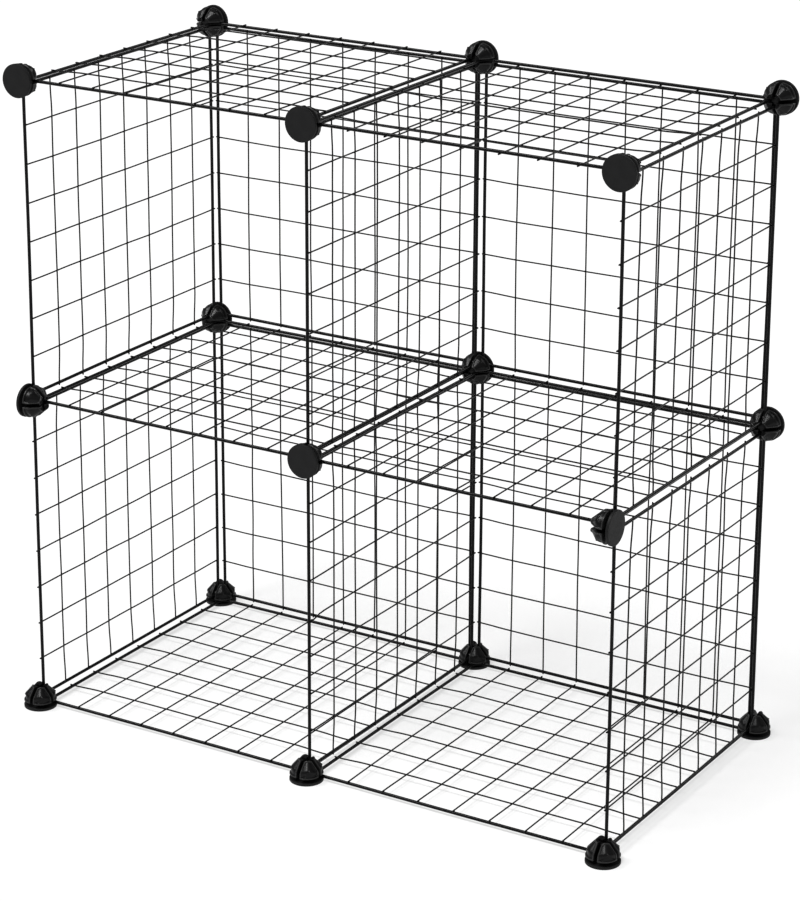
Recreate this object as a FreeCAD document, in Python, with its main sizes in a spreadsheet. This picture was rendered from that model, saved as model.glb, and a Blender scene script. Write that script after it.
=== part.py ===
"""A two by two cube storage unit: sixteen welded wire grid panels held by eighteen snap-on connectors.

Row frame: +Z up, the open front faces -Y, +X is the right-hand side seen from the front. The origin is
on the floor, under the middle of the unit. Millimetres.

A node is a point where the planes of the panels cross. Nodes stand a pitch apart, which is one panel
and the gap that a connector leaves on either side of it. Every node has one connector.
"""
import FreeCAD, Part
import math
import os

import Sketcher
from FreeCAD import Placement, Rotation, Vector

# ---------------------------------------------------------------- driving sizes, in millimetres

DRIVING_SIZES = {
    # the wire grid panel
    "panel_size": 350.0,  # outer edge to outer edge of the frame wire
    "frame_wire": 3.5,  # diameter of the thick wire round the edge
    "frame_bend": 13.0,  # corner radius, at the middle of the wire
    "mesh_wire": 1.6,  # diameter of the thin wires
    "mesh_cells": 8.0,  # openings each way
    "mesh_overhang": 1.2,  # how far a thin wire's end stands out past the frame
    "weld_sink": 0.3,  # how far a thin wire is pressed into the wire it is welded to
    "joggle_start": 6.0,  # from the frame wire to where a cross wire starts to climb
    "joggle_end": 38.0,  # from the frame wire to where it has climbed over the first long wire
    # the connector
    "node_gap": 4.5,  # from a panel's outer edge to the node's planes
    "disc_size": 37.0,
    "disc_height": 3.0,
    "disc_edge": 0.6,  # chamfer round the disc
    "groove_width": 4.4,  # between the disc and the claws, holds the panels parallel to the disc
    "core_size": 18.0,  # diameter of the neck in the groove
    "claw_size": 36.4,  # diameter over the four claws
    "claw_straight": 8.8,  # height of the claws' straight side above the groove
    "tip_size": 17.0,  # diameter of the flat end of the claws
    "connector_height": 26.4,
    "slot_width": 4.4,  # between two claws, holds a panel square to the disc
    "slot_inner": 4.0,  # from the axis to the inner end of a slot
    "flare_start": 14.5,  # from the axis to where a slot starts to widen outwards
    "flare_width": 9.6,  # its width at the disc's edge
    "cross_depth": 6.0,  # depth of the open cross at the tips
    "mouth_width": 8.4,  # the slots' flared mouth at the tips
    "mouth_depth": 2.4,
    "recess_depth": 0.5,  # the sunk face of a claw
    "recess_low": 2.6,  # border below the sunk face, measured up from the claw's shoulder
    "recess_high": 2.2,  # border above it, measured down from the tip
    "recess_angle": 46.0,
}

# The same sizes in the words of the sheet, for the expressions that bind the features to it.
PITCH = "(Dims.panel_size + 2 * Dims.node_gap)"
NODE_HEIGHT = "(Dims.disc_height + Dims.groove_width / 2)"  # from a disc's outer face to its node
FRAME_SIDE = "(Dims.panel_size - Dims.frame_wire)"  # between the middles of opposite frame wires
CELL = f"({FRAME_SIDE} / Dims.mesh_cells)"
LONG_LEVEL = "((Dims.frame_wire + Dims.mesh_wire) / 2 - Dims.weld_sink)"
CROSS_LEVEL = f"({LONG_LEVEL} + Dims.mesh_wire - Dims.weld_sink)"
GROOVE_TOP = "(Dims.disc_height + Dims.groove_width)"
SHOULDER = f"({GROOVE_TOP} + Dims.claw_straight)"
TAPER = f"((Dims.claw_size - Dims.tip_size) / 2 / (Dims.connector_height - {SHOULDER}))"

FIRST_POINT = 1
LAST_POINT = 2
CENTRE_POINT = 3
ORIGIN = (-1, 1)  # a sketch's own origin, as geometry and point


def make_sheet(document):
    """The spreadsheet that holds the driving sizes, one named cell each."""
    sheet = document.addObject("Spreadsheet::Sheet", "Dims")
    for row, (name, value) in enumerate(DRIVING_SIZES.items(), start=1):
        sheet.set(f"A{row}", name)
        sheet.set(f"B{row}", str(value))
        sheet.setAlias(f"B{row}", name)
    document.recompute()
    return sheet


# ---------------------------------------------------------------- sketch helpers


def origin_feature(body, role):
    """One of the body's own origin planes or axes."""
    return next(f for f in body.Origin.OriginFeatures if f.Role == role)


def make_sketch(body, name, role, offset=None, turn=None):
    """A sketch on one of the body's origin planes, moved off it by an expression if one is given."""
    sketch = body.newObject("Sketcher::SketchObject", name)
    sketch.AttachmentSupport = [(origin_feature(body, role), "")]
    sketch.MapMode = "FlatFace"
    if turn is not None:
        sketch.AttachmentOffset = Placement(Vector(), turn)
    if offset is not None:
        sketch.setExpression("AttachmentOffset.Base.z", offset)
    return sketch


def bind(sketch, constraint, expression):
    """Adds a dimension to a sketch and ties it to the sheet."""
    index = sketch.addConstraint(constraint)
    sketch.setExpression(f"Constraints[{index}]", expression)


def bind_x(sketch, geometry, point, expression):
    here = sketch.getPoint(geometry, point).x
    bind(sketch, Sketcher.Constraint("DistanceX", *ORIGIN, geometry, point, here), expression)


def bind_y(sketch, geometry, point, expression):
    here = sketch.getPoint(geometry, point).y
    bind(sketch, Sketcher.Constraint("DistanceY", *ORIGIN, geometry, point, here), expression)


def line(start, end):
    return Part.LineSegment(Vector(*start, 0), Vector(*end, 0))


def add_circle(sketch, centre, diameter, x_expression, y_expression, diameter_expression):
    """A circle at (x, y). A y_expression of None puts it on the horizontal axis."""
    circle = Part.Circle(Vector(*centre, 0), Vector(0, 0, 1), diameter / 2)
    geometry = sketch.addGeometry(circle, False)
    bind_x(sketch, geometry, CENTRE_POINT, x_expression)
    if y_expression is None:
        sketch.addConstraint(Sketcher.Constraint("PointOnObject", geometry, CENTRE_POINT, -1))
    else:
        bind_y(sketch, geometry, CENTRE_POINT, y_expression)
    bind(sketch, Sketcher.Constraint("Diameter", geometry, diameter), diameter_expression)


def add_polygon(sketch, corners):
    """A closed outline of straight lines. A corner is (x, y, x_expression, y_expression), and a
    coordinate whose expression is None stays on the sketch's axis."""
    count = len(corners)
    for here, there in zip(corners, corners[1:] + corners[:1]):
        sketch.addGeometry(line(here[:2], there[:2]), False)
    for side in range(count):
        following = (side + 1) % count
        sketch.addConstraint(Sketcher.Constraint("Coincident", side, LAST_POINT, following, FIRST_POINT))
    for side, (_, _, x_expression, y_expression) in enumerate(corners):
        if x_expression is None:
            sketch.addConstraint(Sketcher.Constraint("PointOnObject", side, FIRST_POINT, -2))
        else:
            bind_x(sketch, side, FIRST_POINT, x_expression)
        if y_expression is None:
            sketch.addConstraint(Sketcher.Constraint("PointOnObject", side, FIRST_POINT, -1))
        else:
            bind_y(sketch, side, FIRST_POINT, y_expression)


def shared_ends(sketch, here, there):
    """The ends, one of each, at which two neighbouring pieces of a route meet."""
    pairs = [(a, b) for a in (FIRST_POINT, LAST_POINT) for b in (FIRST_POINT, LAST_POINT)]

    def apart(pair):
        return sketch.getPoint(here, pair[0]).distanceToPoint(sketch.getPoint(there, pair[1]))

    return min(pairs, key=apart)


def add_smooth_route(sketch, pieces):
    """Lines and arcs that run smoothly into each other, in their order along the route."""
    sketch.addGeometry(pieces, False)
    for here in range(len(pieces) - 1):
        end_here, end_there = shared_ends(sketch, here, here + 1)
        sketch.addConstraint(Sketcher.Constraint("Tangent", here, end_here, here + 1, end_there))


def pipe_along(body, name, section, route, edges):
    """A wire: a round section swept along the edges of a route."""
    body.Document.recompute()
    wire = body.newObject("PartDesign::AdditivePipe", name)
    wire.Profile = section
    wire.Spine = (route, [f"Edge{number}" for number in range(1, edges + 1)])
    return wire


def repeat_along(body, name, feature, role):
    """Repeats the first thin wire over the whole panel, one cell apart."""
    pattern = body.newObject("PartDesign::LinearPattern", name)
    pattern.Originals = [feature]
    pattern.Direction = (origin_feature(body, role), [""])
    pattern.setExpression("Length", f"(Dims.mesh_cells - 2) * {CELL}")
    pattern.setExpression("Occurrences", "Dims.mesh_cells - 1")
    body.Tip = pattern


def repeat_around(body, name, feature, times):
    """Repeats a cut evenly round the connector's axis."""
    pattern = body.newObject("PartDesign::PolarPattern", name)
    pattern.Originals = [feature]
    pattern.Axis = (origin_feature(body, "Z_Axis"), [""])
    pattern.Angle = 360.0
    pattern.Occurrences = times
    body.Tip = pattern


# ---------------------------------------------------------------- the wire grid panel


def add_frame_wire(body, size):
    """The thick wire round the edge. Its two ends are welded half way up the right-hand side."""
    half = (size["panel_size"] - size["frame_wire"]) / 2
    flat = half - size["frame_bend"]
    route = make_sketch(body, "frame_route", "XY_Plane")

    def corner(x, y, quarter):
        circle = Part.Circle(Vector(x * flat, y * flat, 0), Vector(0, 0, 1), size["frame_bend"])
        return Part.ArcOfCircle(circle, quarter * math.pi / 2, (quarter + 1) * math.pi / 2)

    pieces = [
        line((half, 0), (half, flat)),
        corner(1, 1, 0),
        line((flat, half), (-flat, half)),
        corner(-1, 1, 1),
        line((-half, flat), (-half, -flat)),
        corner(-1, -1, 2),
        line((-flat, -half), (flat, -half)),
        corner(1, -1, 3),
        line((half, -flat), (half, 0)),
    ]
    add_smooth_route(route, pieces)
    last = len(pieces) - 1
    route.addConstraint(Sketcher.Constraint("Coincident", last, LAST_POINT, 0, FIRST_POINT))
    for upright_side in (0, 4, last):
        route.addConstraint(Sketcher.Constraint("Vertical", upright_side))
    for arc in (3, 5, 7):
        route.addConstraint(Sketcher.Constraint("Equal", 1, arc))
    route.addConstraint(Sketcher.Constraint("PointOnObject", 0, FIRST_POINT, -1))
    bind(route, Sketcher.Constraint("Radius", 1, size["frame_bend"]), "Dims.frame_bend")
    bind_x(route, 0, FIRST_POINT, f"{FRAME_SIDE} / 2")
    bind_y(route, 2, FIRST_POINT, f"{FRAME_SIDE} / 2")
    bind_x(route, 4, FIRST_POINT, f"-{FRAME_SIDE} / 2")
    bind_y(route, 6, FIRST_POINT, f"-{FRAME_SIDE} / 2")

    section = make_sketch(body, "frame_section", "XZ_Plane")
    add_circle(section, (half, 0), size["frame_wire"], f"{FRAME_SIDE} / 2", None, "Dims.frame_wire")
    pipe_along(body, "frame_wire", section, route, len(pieces))


def add_long_wires(body, size):
    """The first layer of thin wires: straight, along Y, welded onto the frame wire."""
    side = size["panel_size"] - size["frame_wire"]
    first = side / size["mesh_cells"] - side / 2
    level = (size["frame_wire"] + size["mesh_wire"]) / 2 - size["weld_sink"]
    section = make_sketch(body, "long_section", "XZ_Plane")
    first_wire = f"{CELL} - {FRAME_SIDE} / 2"
    add_circle(section, (first, level), size["mesh_wire"], first_wire, LONG_LEVEL, "Dims.mesh_wire")
    wire = body.newObject("PartDesign::Pad", "long_wire")
    wire.Profile = section
    wire.Midplane = True
    wire.setExpression("Length", "Dims.panel_size + 2 * Dims.mesh_overhang")
    repeat_along(body, "long_wires", wire, "X_Axis")


def double_bend(low_end, high_end):
    """Two equal arcs, each level at its outer end, that climb from one point to another."""
    run = (high_end[0] - low_end[0]) / 2
    climb = (high_end[1] - low_end[1]) / 2
    radius = (run**2 + climb**2) / (2 * climb)
    quarter = radius - math.sqrt(radius**2 - (run / 2) ** 2)
    middle = (low_end[0] + run, low_end[1] + climb)
    lower = (low_end, (low_end[0] + run / 2, low_end[1] + quarter), middle)
    upper = (middle, (high_end[0] - run / 2, high_end[1] - quarter), high_end)
    return [Part.Arc(*[Vector(*point, 0) for point in arc]) for arc in (lower, upper)]


def add_cross_wires(body, size):
    """The second layer of thin wires, along X. They are welded to the frame wire at the same level as
    the long wires, and climb over them within the first cell in a shallow double bend."""
    side = size["panel_size"] - size["frame_wire"]
    first = side / size["mesh_cells"] - side / 2
    low = (size["frame_wire"] + size["mesh_wire"]) / 2 - size["weld_sink"]
    high = low + size["mesh_wire"] - size["weld_sink"]
    end = size["panel_size"] / 2 + size["mesh_overhang"]
    start_climb = side / 2 - size["joggle_start"]
    end_climb = side / 2 - size["joggle_end"]
    route = make_sketch(body, "cross_route", "XZ_Plane", f"{FRAME_SIDE} / 2 - {CELL}")
    left_climb = double_bend((-start_climb, low), (-end_climb, high))
    right_climb = double_bend((start_climb, low), (end_climb, high))
    pieces = [
        line((-end, low), (-start_climb, low)),
        *left_climb,
        line((-end_climb, high), (end_climb, high)),
        *reversed(right_climb),
        line((start_climb, low), (end, low)),
    ]
    add_smooth_route(route, pieces)
    outer_left, left_lower, left_upper, middle, right_upper, right_lower, outer_right = range(len(pieces))
    for level_line in (outer_left, middle, outer_right):
        route.addConstraint(Sketcher.Constraint("Horizontal", level_line))
    for lower, upper in ((left_lower, left_upper), (right_lower, right_upper)):
        route.addConstraint(Sketcher.Constraint("Equal", lower, upper))
    bind_x(route, outer_left, FIRST_POINT, "-(Dims.panel_size / 2 + Dims.mesh_overhang)")
    bind_x(route, outer_left, LAST_POINT, f"-({FRAME_SIDE} / 2 - Dims.joggle_start)")
    bind_x(route, middle, FIRST_POINT, f"-({FRAME_SIDE} / 2 - Dims.joggle_end)")
    bind_x(route, middle, LAST_POINT, f"{FRAME_SIDE} / 2 - Dims.joggle_end")
    bind_x(route, outer_right, FIRST_POINT, f"{FRAME_SIDE} / 2 - Dims.joggle_start")
    bind_x(route, outer_right, LAST_POINT, "Dims.panel_size / 2 + Dims.mesh_overhang")
    bind_y(route, outer_left, FIRST_POINT, LONG_LEVEL)
    bind_y(route, middle, FIRST_POINT, CROSS_LEVEL)
    bind_y(route, outer_right, FIRST_POINT, LONG_LEVEL)

    section = make_sketch(body, "cross_section", "YZ_Plane", "-(Dims.panel_size / 2 + Dims.mesh_overhang)")
    first_wire = f"{CELL} - {FRAME_SIDE} / 2"
    add_circle(section, (first, low), size["mesh_wire"], first_wire, LONG_LEVEL, "Dims.mesh_wire")
    wire = pipe_along(body, "cross_wire", section, route, len(pieces))
    repeat_along(body, "cross_wires", wire, "Y_Axis")


def make_panel(document, name, size):
    """One welded grid: a frame wire with two layers of thin wires on its +Z side, centred on the origin."""
    body = document.addObject("PartDesign::Body", name)
    body.Label = name
    add_frame_wire(body, size)
    add_long_wires(body, size)
    add_cross_wires(body, size)
    return body


# ---------------------------------------------------------------- the connector


def add_turned_blank(body, size):
    """The round outline: the flat disc, the groove with its neck, and the dome that becomes the claws."""
    disc = size["disc_size"] / 2
    disc_top = size["disc_height"]
    edge = size["disc_edge"]
    neck = size["core_size"] / 2
    groove_top = disc_top + size["groove_width"]
    claw = size["claw_size"] / 2
    shoulder = groove_top + size["claw_straight"]
    tip = size["tip_size"] / 2
    height = size["connector_height"]
    profile = make_sketch(body, "turned_profile", "XZ_Plane")
    corners = [
        (0, 0, None, None),
        (disc - edge, 0, "Dims.disc_size / 2 - Dims.disc_edge", None),
        (disc, edge, "Dims.disc_size / 2", "Dims.disc_edge"),
        (disc, disc_top - edge, "Dims.disc_size / 2", "Dims.disc_height - Dims.disc_edge"),
        (disc - edge, disc_top, "Dims.disc_size / 2 - Dims.disc_edge", "Dims.disc_height"),
        (neck, disc_top, "Dims.core_size / 2", "Dims.disc_height"),
        (neck, groove_top, "Dims.core_size / 2", GROOVE_TOP),
        (claw, groove_top, "Dims.claw_size / 2", GROOVE_TOP),
        (claw, shoulder, "Dims.claw_size / 2", SHOULDER),
        (tip, height, "Dims.tip_size / 2", "Dims.connector_height"),
        (0, height, None, "Dims.connector_height"),
    ]
    add_polygon(profile, corners)
    blank = body.newObject("PartDesign::Revolution", "turned_blank")
    blank.Profile = profile
    blank.ReferenceAxis = (profile, ["V_Axis"])
    blank.Angle = 360.0
    return blank


def add_slots(body, size):
    """Four slots at right angles, from the tips down to the groove, that part the dome into claws and
    widen near its edge. A shallower cross joins them at the tips, and each opens in a flared mouth."""
    half = size["slot_width"] / 2
    inner = size["slot_inner"]
    outer = size["disc_size"] / 2
    slot = make_sketch(body, "slot_outline", "XY_Plane", "Dims.connector_height")
    add_polygon(
        slot,
        [
            (inner, -half, "Dims.slot_inner", "-Dims.slot_width / 2"),
            (outer, -half, "Dims.disc_size / 2", "-Dims.slot_width / 2"),
            (outer, half, "Dims.disc_size / 2", "Dims.slot_width / 2"),
            (inner, half, "Dims.slot_inner", "Dims.slot_width / 2"),
        ],
    )
    deep = body.newObject("PartDesign::Pocket", "slot")
    deep.Profile = slot
    deep.setExpression("Length", f"Dims.connector_height - {GROOVE_TOP}")
    repeat_around(body, "slots", deep, 4)

    start = size["flare_start"]
    wide_end = size["flare_width"] / 2
    widening = make_sketch(body, "flare_outline", "XY_Plane", "Dims.connector_height")
    add_polygon(
        widening,
        [
            (start, -half, "Dims.flare_start", "-Dims.slot_width / 2"),
            (outer, -wide_end, "Dims.disc_size / 2", "-Dims.flare_width / 2"),
            (outer, wide_end, "Dims.disc_size / 2", "Dims.flare_width / 2"),
            (start, half, "Dims.flare_start", "Dims.slot_width / 2"),
        ],
    )
    flared = body.newObject("PartDesign::Pocket", "slot_flare")
    flared.Profile = widening
    flared.setExpression("Length", f"Dims.connector_height - {GROOVE_TOP}")
    repeat_around(body, "slot_flares", flared, 4)

    cross = make_sketch(body, "cross_outline", "XY_Plane", "Dims.connector_height")
    add_polygon(
        cross,
        [
            (-outer, -half, "-Dims.disc_size / 2", "-Dims.slot_width / 2"),
            (outer, -half, "Dims.disc_size / 2", "-Dims.slot_width / 2"),
            (outer, half, "Dims.disc_size / 2", "Dims.slot_width / 2"),
            (-outer, half, "-Dims.disc_size / 2", "Dims.slot_width / 2"),
        ],
    )
    shallow = body.newObject("PartDesign::Pocket", "cross_slot")
    shallow.Profile = cross
    shallow.setExpression("Length", "Dims.cross_depth")
    repeat_around(body, "cross_slots", shallow, 2)

    height = size["connector_height"]
    wide = size["mouth_width"] / 2
    floor = height - size["mouth_depth"]
    mouth = make_sketch(body, "mouth_outline", "YZ_Plane")
    add_polygon(
        mouth,
        [
            (-half, floor, "-Dims.slot_width / 2", "Dims.connector_height - Dims.mouth_depth"),
            (half, floor, "Dims.slot_width / 2", "Dims.connector_height - Dims.mouth_depth"),
            (wide, height, "Dims.mouth_width / 2", "Dims.connector_height"),
            (-wide, height, "-Dims.mouth_width / 2", "Dims.connector_height"),
        ],
    )
    flare = body.newObject("PartDesign::Pocket", "slot_mouth")
    flare.Profile = mouth
    flare.Midplane = True
    flare.setExpression("Length", "Dims.disc_size")
    repeat_around(body, "slot_mouths", flare, 2)


def add_claw_faces(body, size):
    """The slanting outer face of each claw is sunk a little inside a border."""
    groove_top = size["disc_height"] + size["groove_width"]
    shoulder = groove_top + size["claw_straight"]
    taper = (size["claw_size"] - size["tip_size"]) / 2 / (size["connector_height"] - shoulder)
    low = shoulder + size["recess_low"]
    high = size["connector_height"] - size["recess_high"]
    low_face = size["claw_size"] / 2 - taper * size["recess_low"]
    high_face = size["tip_size"] / 2 + taper * size["recess_high"]
    depth = size["recess_depth"]
    outside = size["disc_size"] / 2
    low_level = f"{SHOULDER} + Dims.recess_low"
    high_level = "Dims.connector_height - Dims.recess_high"
    low_floor = f"Dims.claw_size / 2 - {TAPER} * Dims.recess_low - Dims.recess_depth"
    high_floor = f"Dims.tip_size / 2 + {TAPER} * Dims.recess_high - Dims.recess_depth"
    between_slots = Rotation(Vector(0, 1, 0), 45)
    profile = make_sketch(body, "claw_face_profile", "XZ_Plane", turn=between_slots)
    add_polygon(
        profile,
        [
            (low_face - depth, low, low_floor, low_level),
            (outside, low, "Dims.disc_size / 2", low_level),
            (outside, high, "Dims.disc_size / 2", high_level),
            (high_face - depth, high, high_floor, high_level),
        ],
    )
    face = body.newObject("PartDesign::Groove", "claw_face")
    face.Profile = profile
    face.ReferenceAxis = (profile, ["V_Axis"])
    face.Midplane = True
    face.setExpression("Angle", "Dims.recess_angle")
    repeat_around(body, "claw_faces", face, 4)


def make_connector(document, name, size):
    """One moulded connector. Its axis is Z, the disc's outer face is at zero and the claws point up."""
    body = document.addObject("PartDesign::Body", name)
    body.Label = name
    blank = add_turned_blank(body, size)
    document.recompute()
    volume = blank.Shape.Volume
    for add_cut in (add_slots, add_claw_faces):
        add_cut(body, size)
        document.recompute()
        if body.Tip.Shape.Volume >= volume:
            raise RuntimeError(f"{name}: {body.Tip.Name} cut nothing")
        volume = body.Tip.Shape.Volume
    return body


# ---------------------------------------------------------------- the assembly

COLUMNS = {"left": -1, "centre": 0, "right": 1}
BAYS = {"left": -0.5, "right": 0.5}
ROWS = {"front": -0.5, "back": 0.5}
LEVELS = {"bottom": 0, "middle": 1, "top": 2}
STOREYS = {"lower": 0.5, "upper": 1.5}

# Which way each panel's mesh side faces: the welder puts both layers of thin wires on one side.
MESH_SIDE = {
    "shelf_bottom_left": (0, 0, 1),
    "shelf_bottom_right": (0, 0, 1),
    "shelf_middle_left": (0, 0, 1),
    "shelf_middle_right": (0, 0, 1),
    "shelf_top_left": (0, 0, 1),
    "shelf_top_right": (0, 0, -1),
    "upright_left_lower": (-1, 0, 0),
    "upright_left_upper": (1, 0, 0),
    "upright_centre_lower": (1, 0, 0),
    "upright_centre_upper": (1, 0, 0),
    "upright_right_lower": (-1, 0, 0),
    "upright_right_upper": (-1, 0, 0),
    "back_panel_left_lower": (0, -1, 0),
    "back_panel_left_upper": (0, -1, 0),
    "back_panel_right_lower": (0, -1, 0),
    "back_panel_right_upper": (0, -1, 0),
}


def disc_direction(column, row, level):
    """Which way a connector's disc faces. The bottom ones are the feet and stand on their discs, the
    back ones face back, and the front ones face front, apart from the middle level's outer two."""
    if level == "bottom":
        return Vector(0, 0, -1)
    if row == "back":
        return Vector(0, 1, 0)
    if level == "middle" and column != "centre":
        return Vector(COLUMNS[column], 0, 0)
    return Vector(0, -1, 0)


def put(body, steps, turn, shift=(0, 0, 0)):
    """Places a piece so many pitches from the middle of the floor, moved by a share of the distance
    from a disc's outer face to its node. The rotation is fixed and the place follows the sheet."""
    body.Placement = Placement(Vector(), turn)
    for axis, step, share in zip("xyz", steps, shift):
        body.setExpression(f"Placement.Base.{axis}", f"{step} * {PITCH} + {share} * {NODE_HEIGHT}")


def make_panels(document, size):
    """The sixteen panels: six shelves, six uprights and four back panels."""
    places = {}
    for bay, x in BAYS.items():
        for level, z in LEVELS.items():
            places[f"shelf_{level}_{bay}"] = (x, 0, z)
        for storey, z in STOREYS.items():
            places[f"back_panel_{bay}_{storey}"] = (x, ROWS["back"], z)
    for column, x in COLUMNS.items():
        for storey, z in STOREYS.items():
            places[f"upright_{column}_{storey}"] = (x, 0, z)
    panels = []
    for name, steps in places.items():
        panel = make_panel(document, name, size)
        turn = Rotation(Vector(0, 0, 1), Vector(*MESH_SIDE[name]))
        put(panel, steps, turn, shift=(0, 0, 1))
        panels.append(panel)
    return panels


def make_connectors(document, size):
    """The eighteen connectors, one at every node."""
    connectors = []
    for level, z in LEVELS.items():
        for row, y in ROWS.items():
            for column, x in COLUMNS.items():
                name = f"connector_{level}_{row}_{column}"
                outward = disc_direction(column, row, level)
                connector = make_connector(document, name, size)
                turn = Rotation(Vector(0, 0, 1), -outward)
                shift = (outward.x, outward.y, outward.z + 1)
                put(connector, (x, y, z), turn, shift)
                connectors.append(connector)
    return connectors


def check(document, pieces):
    """Stops before anything is written if a feature failed or a piece isn't one sound solid."""
    for thing in document.Objects:
        if "Invalid" in thing.State or "Error" in thing.State:
            raise RuntimeError(f"{thing.Name}: {thing.State}")
    for piece in pieces:
        shape = piece.Shape
        if shape.isNull() or not shape.isValid() or len(shape.Solids) != 1:
            raise RuntimeError(f"{piece.Label}: not one valid solid")


def main():
    document = FreeCAD.newDocument("cube_storage_unit")
    sheet = make_sheet(document)
    size = {name: float(sheet.get(name)) for name in DRIVING_SIZES}
    pieces = make_panels(document, size) + make_connectors(document, size)
    document.recompute()
    check(document, pieces)
    os.makedirs("parts", exist_ok=True)
    for piece in pieces:
        piece.Shape.exportStep(f"parts/{piece.Label}.step")


main()
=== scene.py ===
"""Looks of the cube storage unit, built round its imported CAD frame.

Every wire grid panel and every connector of the frame gets a detailed mesh in its own place: bent and
slightly uneven welded wires, and moulded connectors with four bordered claws. Metres.
"""
import math
import random

import bpy
import numpy as np
from mathutils import Matrix, Vector


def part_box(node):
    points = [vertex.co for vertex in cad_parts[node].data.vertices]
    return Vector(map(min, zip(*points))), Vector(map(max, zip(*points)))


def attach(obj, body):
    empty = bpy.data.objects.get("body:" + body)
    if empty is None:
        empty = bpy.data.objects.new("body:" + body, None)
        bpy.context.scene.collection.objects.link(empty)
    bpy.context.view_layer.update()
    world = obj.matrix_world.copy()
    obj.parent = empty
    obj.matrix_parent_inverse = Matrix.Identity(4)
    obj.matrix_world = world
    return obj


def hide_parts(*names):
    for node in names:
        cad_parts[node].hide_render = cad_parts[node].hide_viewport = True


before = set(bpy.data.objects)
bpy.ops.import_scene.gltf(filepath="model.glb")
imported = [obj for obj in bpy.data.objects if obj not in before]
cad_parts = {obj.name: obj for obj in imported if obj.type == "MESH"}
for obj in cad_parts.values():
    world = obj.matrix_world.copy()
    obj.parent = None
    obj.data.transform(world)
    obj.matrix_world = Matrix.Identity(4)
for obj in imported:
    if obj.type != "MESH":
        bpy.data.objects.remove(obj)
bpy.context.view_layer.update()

# ---------------------------------------------------------------- units

MM = 0.001
WORLD_AXES = np.eye(3)

# ---------------------------------------------------------------- mesh helpers


class Shell:
    """Closed skins that are collected into one mesh. Each point also says how far it is on a ridge, where
    the plastic is painted paler: a painted highlight, with some wear."""

    def __init__(self):
        self.points = []
        self.faces = []
        self.highlight_and_wear = []

    def add_rings(self, rings, closed=False, highlights_and_wear=None):
        """A skin over rings of points that run anticlockwise round the way they advance. It ends in two
        flat caps, or joins up with its own start."""
        start = len(self.points)
        self.highlight_and_wear.extend(np.zeros(sum(map(len, rings))) if highlights_and_wear is None else np.concatenate(highlights_and_wear))
        count = len(rings[0])
        total = len(rings)
        for ring in rings:
            self.points.extend(ring.tolist())
        for ring in range(total if closed else total - 1):
            here = start + ring * count
            there = start + (ring + 1) % total * count
            for k in range(count):
                after = (k + 1) % count
                self.faces.append((here + k, here + after, there + after, there + k))
        if not closed:
            last = start + (total - 1) * count
            self.faces.append(tuple(range(start + count - 1, start - 1, -1)))
            self.faces.append(tuple(range(last, last + count)))

    def mesh(self, name, crease):
        """The finished mesh, smooth apart from edges sharper than the crease angle in degrees."""
        mesh = bpy.data.meshes.new(name)
        mesh.from_pydata(self.points, [], self.faces)
        # Where the plastic gets its painted highlight, with some wear.
        mesh.attributes.new("highlight_and_wear", "FLOAT", "POINT").data.foreach_set("value", self.highlight_and_wear)
        mesh.shade_smooth()
        mesh.set_sharp_from_angle(angle=math.radians(crease))
        return mesh


def smooth(value):
    """Rises gently from 0 to 1 as the value does."""
    value = np.clip(value, 0, 1)
    return value * value * (3 - 2 * value)


def add_wire(shell, path, radius, sides, out, closed=False):
    """A round wire along a path that lies nearly flat. out points away from the flat. The radius is one
    number or one for each point of the path."""
    if closed:
        along = np.roll(path, -1, axis=0) - np.roll(path, 1, axis=0)
    else:
        along = np.gradient(path, axis=0)
    along /= np.linalg.norm(along, axis=1, keepdims=True)
    across = np.cross(along, out)
    across /= np.linalg.norm(across, axis=1, keepdims=True)
    up = np.cross(along, across)
    turn = np.linspace(0, 2 * math.pi, sides, endpoint=False)[None, :, None]
    reach = np.broadcast_to(radius, len(path))[:, None, None]
    rings = path[:, None] + reach * (np.cos(turn) * across[:, None] + np.sin(turn) * up[:, None])
    shell.add_rings(rings, closed)


def add_blob(shell, centre, axes, reach):
    """A small rounded lump with its own reach along each of three axes."""
    rings = []
    for latitude in (-1.3, -0.65, 0.0, 0.65, 1.3):
        turn = np.linspace(0, 2 * math.pi, 8, endpoint=False)
        ring = np.stack(
            [
                np.cos(latitude) * np.cos(turn) * reach[0],
                np.cos(latitude) * np.sin(turn) * reach[1],
                np.full(8, np.sin(latitude) * reach[2]),
            ],
            axis=1,
        )
        rings.append(centre + ring @ axes)
    shell.add_rings(rings)


def place(name, mesh, node, material, matrix=None):
    """Puts a piece in the scene in place of its CAD node."""
    piece = bpy.data.objects.new(name, mesh)
    bpy.context.scene.collection.objects.link(piece)
    if not mesh.materials:
        mesh.materials.append(material)
    if matrix is not None:
        piece.matrix_world = matrix
    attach(piece, "root")
    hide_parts(node)


def cad_points(node):
    """The corner points of a CAD node's mesh."""
    return np.array([vertex.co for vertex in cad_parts[node].data.vertices])


# ---------------------------------------------------------------- the wire grid panels

FRAME_WIRE = 3.5 * MM  # diameter of the thick wire round a panel
FRAME_SIDES = 16
BEND = 13 * MM  # radius of its corners
FRAME_BOW = 0.8 * MM  # how far one of its sides may bow
BUTT_WELD = 1.8 * MM  # half the length of the bead that closes it
CELLS = 8  # openings each way
MESH_WIRE = 1.6 * MM  # diameter of the thin wires
MESH_SIDES = 10
MESH_BOW = 1.7 * MM  # how far a thin wire may bow
BELLY = 0.7 * MM  # how far the grid may belly out
TWIST = 0.4 * MM  # and how far its quarters may differ from that
OVERHANG = 1.2 * MM  # how far the CAD panel's thin wires stand out past the frame wire
CUT_SHORT = (0.6 * MM, 1.3 * MM)  # least and most that a thin wire's end is shorter than that here
TIP_STEPS = (0.0, 0.25 * MM, 0.7 * MM)  # places of the points that round an end, from its tip
KINKED_PANEL = "upright_centre_lower"
KINK = 4.2 * MM  # how far its middle long wire is pulled sideways at one end
KINK_LENGTH = 26 * MM
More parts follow.
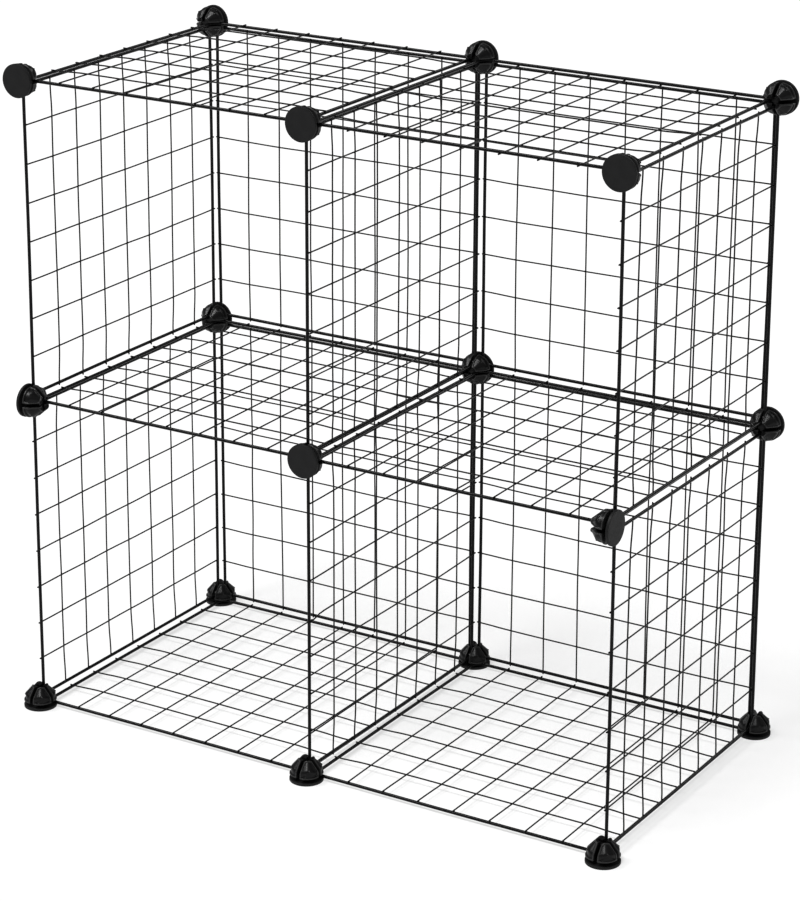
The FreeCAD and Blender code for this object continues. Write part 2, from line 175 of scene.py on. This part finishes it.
WELD_SINK = 0.3 * MM  # how far welded wires are pressed into each other
WELD_ACROSS = 1.35 * MM  # reach of the weld between a thin wire and the frame wire
WELD_ALONG = 1.5 * MM
WELD_HIGH = 0.7 * MM
NUGGET = (0.95 * MM, 1.2 * MM)  # least and most reach of the weld between two thin wires
NUGGET_HIGH = 0.75 * MM
CLIMB_START = 6 * MM  # from the frame wire to where a cross wire starts to climb
CLIMB_END = 38 * MM  # from the frame wire to where it has climbed over the first long wire
LONG_LEVEL = (FRAME_WIRE + MESH_WIRE) / 2 - WELD_SINK
CROSS_LEVEL = LONG_LEVEL + MESH_WIRE - WELD_SINK


def panel_axes(node):
    """A panel's middle, its axes (along the cross wires, along the long wires, and out on the mesh side)
    and the length of its wires.

    Only the frame wire reaches the corners, so its plane is where the mesh is near a corner."""
    low, high = (np.array(corner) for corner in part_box(node))
    thin = int(np.argmin(high - low))
    flat = [axis for axis in range(3) if axis != thin]
    points = cad_points(node)
    near = np.all(points[:, flat] < low[flat] + BEND, axis=1)
    plane = (points[near, thin].min() + points[near, thin].max()) / 2
    side = 1 if high[thin] - plane > plane - low[thin] else -1
    long_axis = 1 if thin != 1 else 2
    middle = (low + high) / 2
    middle[thin] = plane
    out = WORLD_AXES[thin] * side
    long_way = WORLD_AXES[long_axis]
    length = (high - low)[long_axis]
    return middle, np.array([np.cross(long_way, out), long_way, out]), length


def frame_path(half, luck):
    """The middle line of the frame wire: a square with round corners, whose sides bow a little."""
    flat = half - BEND
    path = []
    for quarter in range(4):
        bow = luck.uniform(-FRAME_BOW, FRAME_BOW)
        start = quarter * math.pi / 2
        side = np.array([math.cos(start), math.sin(start), 0])
        forward = np.array([-side[1], side[0], 0])
        for share in np.linspace(-1, 1, 15):
            sway = bow * (1 - share**2) ** 2
            path.append(side * (half + sway) + forward * flat * share)
        corner = side * flat + forward * flat
        for share in range(1, 9):
            angle = start + share / 9 * math.pi / 2
            path.append(corner + BEND * np.array([math.cos(angle), math.sin(angle), 0]))
    return np.array(path)


def thin_path(place_at, end, luck, kink=0.0):
    """A thin wire as distance along it, sideways place and radius. Its ends are rounded, and where they
    are cut and how it bows differ from wire to wire. A kink pulls its first end sideways."""
    start = -end + luck.uniform(*CUT_SHORT)
    stop = end - luck.uniform(*CUT_SHORT)
    tip = np.array(TIP_STEPS)
    along = np.concatenate([start + tip, np.linspace(start, stop, 37)[1:-1], stop - tip[::-1]])
    share = along / end
    bow = np.clip(luck.gauss(0, 0.75 * MM), -MESH_BOW, MESH_BOW)
    sway = luck.gauss(0, 0.3 * MM)
    shake = luck.gauss(0, 0.12 * MM)
    sideways = bow * np.cos(share * math.pi / 2)
    sideways += sway * np.sin(share * math.pi)
    sideways += shake * np.sin(share * math.pi * 3.5 + luck.uniform(0, 6))
    sideways *= 1 - share**8
    sideways += kink * (1 - smooth((along + end) / KINK_LENGTH))
    radius = np.full(len(along), MESH_WIRE / 2)
    radius[[0, -1]] *= 0.55
    radius[[1, -2]] *= 0.88
    return along, place_at + sideways, radius


class Panel:
    """One welded panel in the making. A place in it is u along its cross wires, v along its long wires and
    w out on the mesh side, all from its middle."""

    def __init__(self, node, number):
        self.luck = random.Random(100 + number)
        self.middle, self.axes, length = panel_axes(node)
        self.end = length / 2
        self.half = (length - 2 * OVERHANG - FRAME_WIRE) / 2
        self.spots = [step * 2 * self.half / CELLS - self.half for step in range(1, CELLS)]
        self.kink = KINK if node == KINKED_PANEL else 0.0
        self.loop = frame_path(self.half, self.luck)
        self.belly = self.luck.uniform(-BELLY, BELLY)
        self.twist = self.luck.uniform(-TWIST, TWIST)
        self.shell = Shell()

    def world(self, u, v, w):
        return self.middle + np.stack(np.broadcast_arrays(u, v, w), axis=-1) @ self.axes

    def wire(self, u, v, w, radius, sides, closed=False):
        add_wire(self.shell, self.world(u, v, w), radius, sides, self.axes[2], closed)

    def weld(self, u, v, w, reach):
        add_blob(self.shell, self.world(u, v, w), self.axes, reach)

    def lift(self, u, v):
        """How far the grid bellies out at a place, which is nothing at the ends of its wires."""
        fade = np.cos(u / self.end * math.pi / 2) * np.cos(v / self.end * math.pi / 2)
        quarters = np.sin(u / self.end * math.pi) * np.sin(v / self.end * math.pi)
        return fade * (self.belly + self.twist * quarters)

    def climb(self, u):
        """The level of a cross wire, which lies on the frame wire and climbs over the long wires."""
        inset = self.half - np.abs(u)
        risen = smooth((inset - CLIMB_START) / (CLIMB_END - CLIMB_START))
        return LONG_LEVEL + (CROSS_LEVEL - LONG_LEVEL) * risen

    def add_frame(self):
        """The frame wire, closed by a butt weld in the middle of its first side."""
        self.wire(*self.loop.T, FRAME_WIRE / 2, FRAME_SIDES, closed=True)
        bead = np.linspace(-BUTT_WELD, BUTT_WELD, 7)
        swell = FRAME_WIRE / 2 * (0.99 + 0.09 * np.cos(bead / BUTT_WELD * math.pi / 2))
        self.wire(self.loop[7, 0], bead, 0.0, swell, FRAME_SIDES)

    def add_grid(self):
        """The long wires, and the cross wires over them. Returns the middle lines of both kinds, as
        distance along them and sideways place."""
        long_wires = []
        cross_wires = []
        for step, spot in enumerate(self.spots, 1):
            kink = self.kink if step == CELLS // 2 else 0.0
            along, sideways, radius = thin_path(spot, self.end, self.luck, kink)
            level = LONG_LEVEL + self.lift(spot, along)
            self.wire(sideways, along, level, radius, MESH_SIDES)
            long_wires.append((along, sideways))
            along, sideways, radius = thin_path(spot, self.end, self.luck)
            level = self.climb(along) + self.lift(along, spot)
            self.wire(along, sideways, level, radius, MESH_SIDES)
            cross_wires.append((along, sideways))
        return long_wires, cross_wires

    def add_welds(self, long_wires, cross_wires):
        """The small lumps of metal where wires meet."""
        for spot, (long_along, long_side) in zip(self.spots, long_wires):
            for edge in (-self.half, self.half):
                across = np.interp(edge, long_along, long_side)
                self.weld(across, edge, FRAME_WIRE / 2, (WELD_ACROSS, WELD_ALONG, WELD_HIGH))
            for cross_along, cross_side in cross_wires:
                v = np.interp(spot, cross_along, cross_side)
                u = np.interp(v, long_along, long_side)
                level = (LONG_LEVEL + self.climb(u)) / 2 + self.lift(u, v)
                size = self.luck.uniform(*NUGGET)
                self.weld(u, v, level, (size, size, NUGGET_HIGH))
        for cross_along, cross_side in cross_wires:
            for edge in (-self.half, self.half):
                across = np.interp(edge, cross_along, cross_side)
                self.weld(edge, across, FRAME_WIRE / 2, (WELD_ALONG, WELD_ACROSS, WELD_HIGH))


def make_panel(node, number, material):
    panel = Panel(node, number)
    panel.add_frame()
    panel.add_welds(*panel.add_grid())
    name = "wires_" + node
    place(name, panel.shell.mesh(name, crease=50), node, material)


# ---------------------------------------------------------------- the connectors

DISC_HEIGHT = 3.0 * MM
RIM = 7.4 * MM  # from the disc's outer face to the claws' lower rim
NECK_RADIUS = 9.0 * MM
SLOT_HALF = 2.05 * MM  # half a slot's width
EDGE = 0.32 * MM  # rounding of the moulding's edges
CLAW_RADIUS = 18.4 * MM  # from the axis, in the middle of a claw
SIDE_RADIUS = 17.5 * MM  # from the axis, beside a slot
SHOULDER = 16.6 * MM  # height at which the claw turns inwards, in its middle
SHOULDER_RADIUS = 17.8 * MM
SHOULDER_DROP = 2.6 * MM  # how much lower the shoulder is beside a slot
TIP_RADIUS = 8.6 * MM
TIP_CUT = 0.9 * MM  # how far the tips stop below the connector's full height
TIP_DROP = 1.5 * MM  # how much lower the tip is beside a slot
CROSS_FLOOR = 6.0 * MM  # depth of the open cross at the tips
SHOULDER_TURN = 2.2 * MM  # from the shoulder to where its bend starts and ends
BORDER = 1.05 * MM  # width of a claw's raised border
SUNK = 0.9 * MM  # depth of the face inside it
CORNER_TURN = 1.6 / MM  # how tightly the border turns in the claw's corners
GABLE_DROP = 1.6 * MM  # from the shoulder down to the top of the gable-shaped step
GABLE_FALL = 6.4 * MM  # how much lower that step is beside a slot
GABLE_DEPTH = 0.7 * MM
PIP_DROP = 0.4 * MM  # from the shoulder down to the pip
PIP_REACH = 0.9 * MM
PIP_HEIGHT = 0.9 * MM
CORE_HALF = SLOT_HALF + 1.8 * MM  # half the width of the post between the claws
INNER_DROP = 3.6 * MM  # from the full height down to the claws' inner edges
HOLLOW = 4.4 * MM  # from the axis to the middle of a claw's hollow end, both ways
HOLLOW_DROP = 3.4 * MM
HEART = 7 * MM  # from the axis to the point that a claw's foot shrinks towards, both ways


def lathe(shell, profile, count):
    """A turned skin over (radius, height) points."""
    turn = np.linspace(0, 2 * math.pi, count, endpoint=False)
    rings = []
    for radius, height in profile:
        ring = [radius * np.cos(turn), radius * np.sin(turn), np.full(count, height)]
        rings.append(np.stack(ring, axis=1))
    shell.add_rings(rings)


def rounded(corner, before, after, reach):
    """Points that round a corner of a profile off, from the side of one neighbour to the other's."""
    corner, before, after = (np.array(point) for point in (corner, before, after))
    first = corner + (before - corner) / np.linalg.norm(before - corner) * reach
    last = corner + (after - corner) / np.linalg.norm(after - corner) * reach
    shares = np.linspace(0, 1, 5)[:, None]
    return list((1 - shares) ** 2 * first + 2 * shares * (1 - shares) * corner + shares**2 * last)


def add_disc(shell, radius):
    """The flat disc and the neck behind it."""
    low_edge = rounded((radius, 0), (0, 0), (radius, DISC_HEIGHT), 0.55 * MM)
    high_edge = rounded((radius, DISC_HEIGHT), (radius, 0), (0, DISC_HEIGHT), 0.45 * MM)
    flats = [(share * radius, 0) for share in (0.02, 0.3, 0.6, 0.85)]
    back = [(share * radius, DISC_HEIGHT) for share in (0.9, 0.7, 0.02)]
    lathe(shell, flats + low_edge + high_edge + back, 72)
    neck = [(0.2 * MM, DISC_HEIGHT - EDGE), (NECK_RADIUS, DISC_HEIGHT - EDGE), (NECK_RADIUS, RIM)]
    lathe(shell, neck + [(0.2 * MM, RIM)], 40)


def add_core(shell, height):
    """The square post that joins the four claws below the open cross."""
    top = height - CROSS_FLOOR
    rings = []
    for level, inset in ((RIM - EDGE, 0), (top - EDGE, 0), (top, EDGE)):
        half = CORE_HALF - inset
        corners = [(half, -half), (half, half), (-half, half), (-half, -half)]
        rings.append(np.array([(x, y, level) for x, y in corners]))
    shell.add_rings(rings)


def claw_section(share, height):
    """The profile of a claw's outer face, from its rim to its tip, as radius and height. The share is 0 in
    the claw's middle and 1 beside a slot."""
    drop = share * share
    foot = np.array((CLAW_RADIUS, RIM + EDGE))
    shoulder = np.array((SHOULDER_RADIUS, SHOULDER - SHOULDER_DROP * drop))
    tip = np.array((TIP_RADIUS, height - TIP_CUT - TIP_DROP * drop))
    before = shoulder + (foot - shoulder) / np.linalg.norm(foot - shoulder) * SHOULDER_TURN
    after = shoulder + (tip - shoulder) / np.linalg.norm(tip - shoulder) * SHOULDER_TURN
    upright = [foot + (before - foot) * t**1.15 for t in np.linspace(0, 1, 15)]
    bend = [
        (1 - t) ** 2 * before + 2 * t * (1 - t) * shoulder + t * t * after
        for t in (0.2, 0.4, 0.6, 0.8)
    ]
    slope = [after + (tip - after) * (1 - (1 - t) ** 1.15) for t in np.linspace(0, 1, 20)]
    return np.array(upright + bend + slope)


def claw_face(height):
    """The outer face of a claw in the quarter between +X and +Y, as rows from rim to tip of points that
    run from one slot to the other: a lobe with a raised border, a sunk face inside it, a gable-shaped step
    across that, and a pip. With it comes how far each point is on the border, the step's edge and the pip,
    where a paler colour is painted as a highlight, with some wear."""
    reach = (math.sqrt(SIDE_RADIUS**2 - SLOT_HALF**2) + SLOT_HALF) / math.sqrt(2)
    lobe_middle = (CLAW_RADIUS**2 - SIDE_RADIUS**2) / 2 / (CLAW_RADIUS - reach)
    lobe_radius = CLAW_RADIUS - lobe_middle

    shares = np.linspace(-1, 1, 47)
    sections = np.stack([claw_section(abs(share), height) for share in shares], axis=1)
    scale = sections[..., 0] / CLAW_RADIUS
    middle = lobe_middle * scale / math.sqrt(2)
    radius = lobe_radius * scale
    widest = math.pi / 4 - np.arcsin((SLOT_HALF + EDGE - middle) / radius)
    turn = math.pi / 4 + shares * widest
    levels = sections[..., 1]
    face = np.stack([middle + radius * np.cos(turn), middle + radius * np.sin(turn), levels], axis=-1)

    normal = np.cross(np.gradient(face, axis=1), np.gradient(face, axis=0))
    normal /= np.linalg.norm(normal, axis=-1, keepdims=True)
    steps = np.linalg.norm(np.diff(face, axis=0), axis=-1)
    climbed = np.concatenate([np.zeros((1, len(shares))), np.cumsum(steps, axis=0)])
    from_slot = (1 - np.abs(shares)) * widest * radius
    crowd = sum(np.exp(-CORNER_TURN * reach) for reach in (from_slot, climbed, climbed[-1] - climbed))
    from_edge = -np.log(crowd) / CORNER_TURN
    inside = smooth((from_edge - BORDER) / (0.6 * MM))
    gable = SHOULDER - GABLE_DROP - GABLE_FALL * np.abs(shares)
    under = smooth((gable - levels) / (0.5 * MM))
    aside = shares * widest * radius
    pip = np.exp(-(aside**2 + (levels - SHOULDER + PIP_DROP) ** 2) / PIP_REACH**2)
    hollow = SUNK * inside + GABLE_DEPTH * under * inside - PIP_HEIGHT * pip
    # Painted highlight, with some wear: a paler colour on the raised border, the step's edge and the pip.
    highlight_and_wear = np.clip(1 - 1.4 * inside + 2 * under * (1 - under) * inside + pip, 0, 1)
    return face - normal * hollow[..., None], highlight_and_wear


def claw_rings(height):
    """The whole skin of that claw as rings: its outer face, its two sides along the slots, and its caps.
    With it comes how far each point gets the painted highlight and wear, which also lines the slot edges."""
    face, face_highlight_and_wear = claw_face(height)
    rings = []
    highlights_and_wear = []
    low = face[0, 0, 2]
    for row, row_highlight_and_wear in zip(face, face_highlight_and_wear):
        risen = (row[0, 2] - low) / (face[-1, 0, 2] - low)
        inner = np.array((SLOT_HALF, SLOT_HALF, low + (height - INNER_DROP - low) * risen))
        turned = np.array((SLOT_HALF, row[-1, 1] - EDGE * 1.2, row[-1, 2]))
        started = np.array((row[0, 0] - EDGE * 1.2, SLOT_HALF, row[0, 2]))
        down = [turned + (inner - turned) * share for share in (0, 0.15, 0.4, 0.7)]
        back = [inner + (started - inner) * share for share in (0, 0.3, 0.6, 0.85, 1)]
        rings.append(np.concatenate([row, down, back]))
        # The edges along the slots get the painted highlight too.
        highlights_and_wear.append(np.concatenate([row_highlight_and_wear, (0.7, 0.2, 0, 0), (0, 0, 0, 0.2, 0.7)]))
    heart = np.array((HEART, HEART, 0))
    foot = rings[0] + (heart - rings[0]) * 0.035
    foot[:, 2] = RIM
    hollow = np.array((HOLLOW, HOLLOW, height - HOLLOW_DROP))
    top = rings[-1]
    caps = [top + (hollow - top) * share for share in (0.14, 0.4, 0.75, 0.96)]
    plain = np.zeros(len(top))
    return [foot] + rings + caps, [highlights_and_wear[0]] + highlights_and_wear + [highlights_and_wear[-1]] + [plain] * 3


def make_connector_mesh(radius, height):
    """One moulded connector: its axis is Z, the disc's outer face is at zero and the claws point up."""
    shell = Shell()
    add_disc(shell, radius)
    add_core(shell, height)
    rings, highlights_and_wear = claw_rings(height)
    for quarter in range(4):
        angle = quarter * math.pi / 2
        turn = np.array(Matrix.Rotation(angle, 3, "Z"))
        shell.add_rings([ring @ turn.T for ring in rings], highlights_and_wear=highlights_and_wear)
    return shell.mesh("connector_moulding", crease=42)


def connector_matrix(node):
    """Where a connector's own axes go. Its wide end is the disc, and its narrow end the claws' tips."""
    low, high = (np.array(corner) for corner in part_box(node))
    size = high - low
    axis = int(np.argmin(size))
    points = cad_points(node)
    middle = (low + high) / 2
    from_axis = np.linalg.norm(np.delete(points - middle, axis, axis=1), axis=1)
    at_low = from_axis[points[:, axis] < low[axis] + 0.1 * MM].max()
    up = 1 if at_low > TIP_RADIUS * 1.3 else -1
    start = middle.copy()
    start[axis] = low[axis] if up > 0 else high[axis]
    z_axis = WORLD_AXES[axis] * up
    x_axis = WORLD_AXES[(axis + 1) % 3]
    y_axis = np.cross(z_axis, x_axis)
    turn = np.stack([x_axis, y_axis, z_axis], axis=1)
    return Matrix([[*row, origin] for row, origin in zip(turn, start)]).to_4x4()


# ---------------------------------------------------------------- materials


class Nodes:
    """A material's node tree, with short ways to add and join nodes."""

    def __init__(self, name):
        self.material = bpy.data.materials.new(name)
        self.material.use_nodes = True
        self.tree = self.material.node_tree
        self.shader = self.tree.nodes["Principled BSDF"]
        self.place = self.add("ShaderNodeTexCoord").outputs["Object"]

    def add(self, kind, **settings):
        node = self.tree.nodes.new(kind)
        for name, value in settings.items():
            setattr(node, name, value)
        return node

    def join(self, source, target):
        self.tree.links.new(source, target)

    def noise(self, scale, detail=3.0, roughness=0.55):
        node = self.add("ShaderNodeTexNoise")
        node.inputs["Scale"].default_value = scale
        node.inputs["Detail"].default_value = detail
        node.inputs["Roughness"].default_value = roughness
        self.join(self.place, node.inputs["Vector"])
        return node.outputs["Fac"]

    def spread(self, value, low, high, start=0.3, stop=0.7):
        """Maps a value from between start and stop to between low and high."""
        node = self.add("ShaderNodeMapRange")
        self.join(value, node.inputs["Value"])
        node.inputs["From Min"].default_value = start
        node.inputs["From Max"].default_value = stop
        node.inputs["To Min"].default_value = low
        node.inputs["To Max"].default_value = high
        return node.outputs["Result"]

    def combine(self, first, second, operation="ADD"):
        node = self.add("ShaderNodeMath", operation=operation)
        self.join(first, node.inputs[0])
        self.join(second, node.inputs[1])
        return node.outputs[0]

    def blend(self, share, first, second):
        node = self.add("ShaderNodeMix", data_type="RGBA")
        self.join(share, node.inputs["Factor"])
        for socket, colour in (("A", first), ("B", second)):
            target = next(i for i in node.inputs if i.name == socket and i.type == "RGBA")
            if isinstance(colour, tuple):
                target.default_value = (*colour, 1)
            else:
                self.join(colour, target)
        return next(o for o in node.outputs if o.type == "RGBA")

    def bump(self, height, strength, distance, under=None):
        node = self.add("ShaderNodeBump")
        node.inputs["Strength"].default_value = strength
        node.inputs["Distance"].default_value = distance
        self.join(height, node.inputs["Height"])
        if under is not None:
            self.join(under, node.inputs["Normal"])
        return node.outputs["Normal"]

    def facing_up(self):
        """1 where a surface faces up and 0 where it is upright or faces down."""
        split = self.add("ShaderNodeSeparateXYZ")
        self.join(self.add("ShaderNodeNewGeometry").outputs["Normal"], split.inputs[0])
        return self.spread(split.outputs["Z"], 0.0, 1.0, 0.35, 1.0)


def make_coat():
    """Black powder coat on steel wire: a fine orange peel, thin and thick patches, and a breath of dust on
    the surfaces that face up."""
    nodes = Nodes("powder_coat")
    shader = nodes.shader
    shader.inputs["Specular IOR Level"].default_value = 0.20
    patches = nodes.spread(nodes.noise(14, 4), 0.0, 1.0)
    colour = nodes.blend(patches, (0.0035, 0.0035, 0.0038), (0.0085, 0.0085, 0.0090))
    scattered = nodes.spread(nodes.noise(420, 5, 0.7), 0.0, 0.5, 0.45, 0.75)
    dust = nodes.combine(nodes.facing_up(), scattered, "MULTIPLY")
    colour = nodes.blend(dust, colour, (0.026, 0.026, 0.025))
    nodes.join(colour, shader.inputs["Base Color"])
    smeared = nodes.spread(nodes.noise(55, 3), 0.12, 0.20)
    gloss = nodes.combine(smeared, nodes.spread(dust, 0.0, 0.10, 0, 1))
    nodes.join(gloss, shader.inputs["Roughness"])
    peel = nodes.bump(nodes.noise(1100, 2), 0.08, 0.00010)
    waves = nodes.bump(nodes.noise(110, 2), 0.10, 0.00030, peel)
    nodes.join(waves, shader.inputs["Normal"])
    return nodes.material


def make_plastic():
    """Moulded black plastic: matt and grained on the disc, smoother on the claws, and painted paler along
    their ridges, slot edges and pips as a highlight, with some wear."""
    nodes = Nodes("moulded_plastic")
    shader = nodes.shader
    shader.inputs["Specular IOR Level"].default_value = 0.30
    split = nodes.add("ShaderNodeSeparateXYZ")
    nodes.join(nodes.place, split.inputs[0])
    on_disc = nodes.spread(split.outputs["Z"], 1.0, 0.0, DISC_HEIGHT, DISC_HEIGHT + 0.2 * MM)
    patches = nodes.spread(nodes.noise(90, 4), 0.0, 1.0)
    claws = nodes.blend(patches, (0.0050, 0.0050, 0.0052), (0.0095, 0.0095, 0.0100))
    disc = nodes.blend(patches, (0.0125, 0.0125, 0.0130), (0.0195, 0.0195, 0.0200))
    colour = nodes.blend(on_disc, claws, disc)
    specks = nodes.spread(nodes.noise(2300, 2, 0.8), 0.0, 0.35, 0.62, 0.8)
    colour = nodes.blend(specks, colour, (0.05, 0.05, 0.05))
    # A paler colour where the claws catch the light: painted highlight, with some wear along the ridges.
    highlight_and_wear = nodes.add("ShaderNodeAttribute", attribute_name="highlight_and_wear").outputs["Fac"]
    painted_highlight_and_wear = nodes.combine(highlight_and_wear, nodes.spread(nodes.noise(700, 4), 0.45, 1.0), "MULTIPLY")
    colour = nodes.blend(painted_highlight_and_wear, colour, (0.052, 0.052, 0.052))
    nodes.join(colour, shader.inputs["Base Color"])
    rubbed = nodes.spread(nodes.noise(160, 4), 0.0, 0.10)
    gloss = nodes.combine(nodes.spread(on_disc, 0.27, 0.50, 0, 1), rubbed)
    nodes.join(gloss, shader.inputs["Roughness"])
    grain = nodes.combine(nodes.noise(3200, 3, 0.7), nodes.spread(on_disc, 0.12, 1.0, 0, 1), "MULTIPLY")
    fine = nodes.bump(grain, 0.55, 0.00009)
    flow = nodes.bump(nodes.noise(210, 2), 0.25, 0.00015, fine)
    nodes.join(flow, shader.inputs["Normal"])
    return nodes.material


FLOOR_GLOW = 0.64


def make_floor_material():
    """A white floor that also glows by itself, so that shadows on it are faint."""
    nodes = Nodes("white_floor")
    shader = nodes.shader
    shader.inputs["Specular IOR Level"].default_value = 0.0
    shader.inputs["Roughness"].default_value = 0.9
    clouds = nodes.spread(nodes.noise(1.5, 3), 0.0, 1.0)
    nodes.join(nodes.blend(clouds, (0.34, 0.34, 0.34), (0.36, 0.36, 0.36)), shader.inputs["Base Color"])
    shader.inputs["Emission Color"].default_value = (1, 1, 1, 1)
    shader.inputs["Emission Strength"].default_value = FLOOR_GLOW
    return nodes.material


# ---------------------------------------------------------------- camera, floor and light

AZIMUTH = math.radians(31.34)
ELEVATION = math.radians(17.74)
ROLL = math.radians(0.25)
DISTANCE = 3.308
TARGET = Vector((-0.0042, 0.0163, 0.4465))
IMAGE_HEIGHT = 901
FOCAL_SHARE = 3056 / IMAGE_HEIGHT  # focal length as a share of the image's height
SHIFT_Y = -115 / IMAGE_HEIGHT
FLOOR_HALF = 30.0  # half the width of the floor, whose edges are too far off to be seen
WALL_LIGHT = 0.32  # light that the white walls give


def add_camera():
    """The photograph's viewpoint: from the front right, looking down on the top."""
    data = bpy.data.cameras.new("camera")
    data.sensor_width = 36.0
    data.lens = FOCAL_SHARE * data.sensor_width
    data.shift_y = SHIFT_Y
    data.clip_end = 60
    camera = bpy.data.objects.new("camera", data)
    bpy.context.scene.collection.objects.link(camera)
    back = Vector((
        math.sin(AZIMUTH) * math.cos(ELEVATION),
        -math.cos(AZIMUTH) * math.cos(ELEVATION),
        math.sin(ELEVATION),
    ))
    turn = (-back).to_track_quat("-Z", "Y").to_matrix().to_4x4()
    roll = Matrix.Rotation(ROLL, 4, "Z")
    camera.matrix_world = Matrix.Translation(TARGET + back * DISTANCE) @ turn @ roll
    bpy.context.scene.camera = camera


def add_floor():
    half = FLOOR_HALF
    corners = [(-half, -half, 0), (half, -half, 0), (half, half, 0), (-half, half, 0)]
    mesh = bpy.data.meshes.new("floor")
    mesh.from_pydata(corners, [], [(0, 1, 2, 3)])
    mesh.materials.append(make_floor_material())
    floor = bpy.data.objects.new("floor", mesh)
    bpy.context.scene.collection.objects.link(floor)


def add_sun(name, strength, spread, tilt, turn):
    """A soft distant light. tilt is its angle from straight overhead, and turn the way it comes from,
    anticlockwise from +X seen from above, in degrees."""
    light = bpy.data.lights.new(name, "SUN")
    light.energy = strength
    light.angle = math.radians(spread)
    sun = bpy.data.objects.new(name, light)
    bpy.context.scene.collection.objects.link(sun)
    sun.rotation_euler = (0, math.radians(tilt), math.radians(turn))


def add_light():
    """White studio light: four soft suns, and walls that give little light but look white."""
    world = bpy.data.worlds.new("studio")
    bpy.context.scene.world = world
    world.use_nodes = True
    tree = world.node_tree
    walls = tree.nodes["Background"]
    walls.inputs["Color"].default_value = (1, 1, 1, 1)
    walls.inputs["Strength"].default_value = WALL_LIGHT
    seen = tree.nodes.new("ShaderNodeBackground")
    seen.inputs["Color"].default_value = (1, 1, 1, 1)
    seen.inputs["Strength"].default_value = 1.0
    path = tree.nodes.new("ShaderNodeLightPath")
    mix = tree.nodes.new("ShaderNodeMixShader")
    tree.links.new(path.outputs["Is Camera Ray"], mix.inputs["Fac"])
    tree.links.new(walls.outputs[0], mix.inputs[1])
    tree.links.new(seen.outputs[0], mix.inputs[2])
    tree.links.new(mix.outputs[0], tree.nodes["World Output"].inputs["Surface"])
    add_sun("overhead", 1.7, 16, 24, 255)
    add_sun("left", 1.2, 18, 36, 208)
    add_sun("behind", 0.22, 14, 58, 76)
    add_sun("right", 0.14, 60, 48, 330)


# ---------------------------------------------------------------- the scene

add_camera()
add_floor()
add_light()
bpy.context.scene.view_settings.view_transform = "Standard"
bpy.context.scene.view_settings.gamma = 0.8

coat = make_coat()
plastic = make_plastic()
panels = sorted(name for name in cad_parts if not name.startswith("connector"))
connectors = sorted(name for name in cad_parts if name.startswith("connector"))
for number, name in enumerate(panels):
    make_panel(name, number, coat)

first_low, first_high = (np.array(corner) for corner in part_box(connectors[0]))
extents = first_high - first_low
moulding = make_connector_mesh(extents.max() / 2, extents.min())
for name in connectors:
    place("moulding_" + name, moulding, name, plastic, connector_matrix(name))
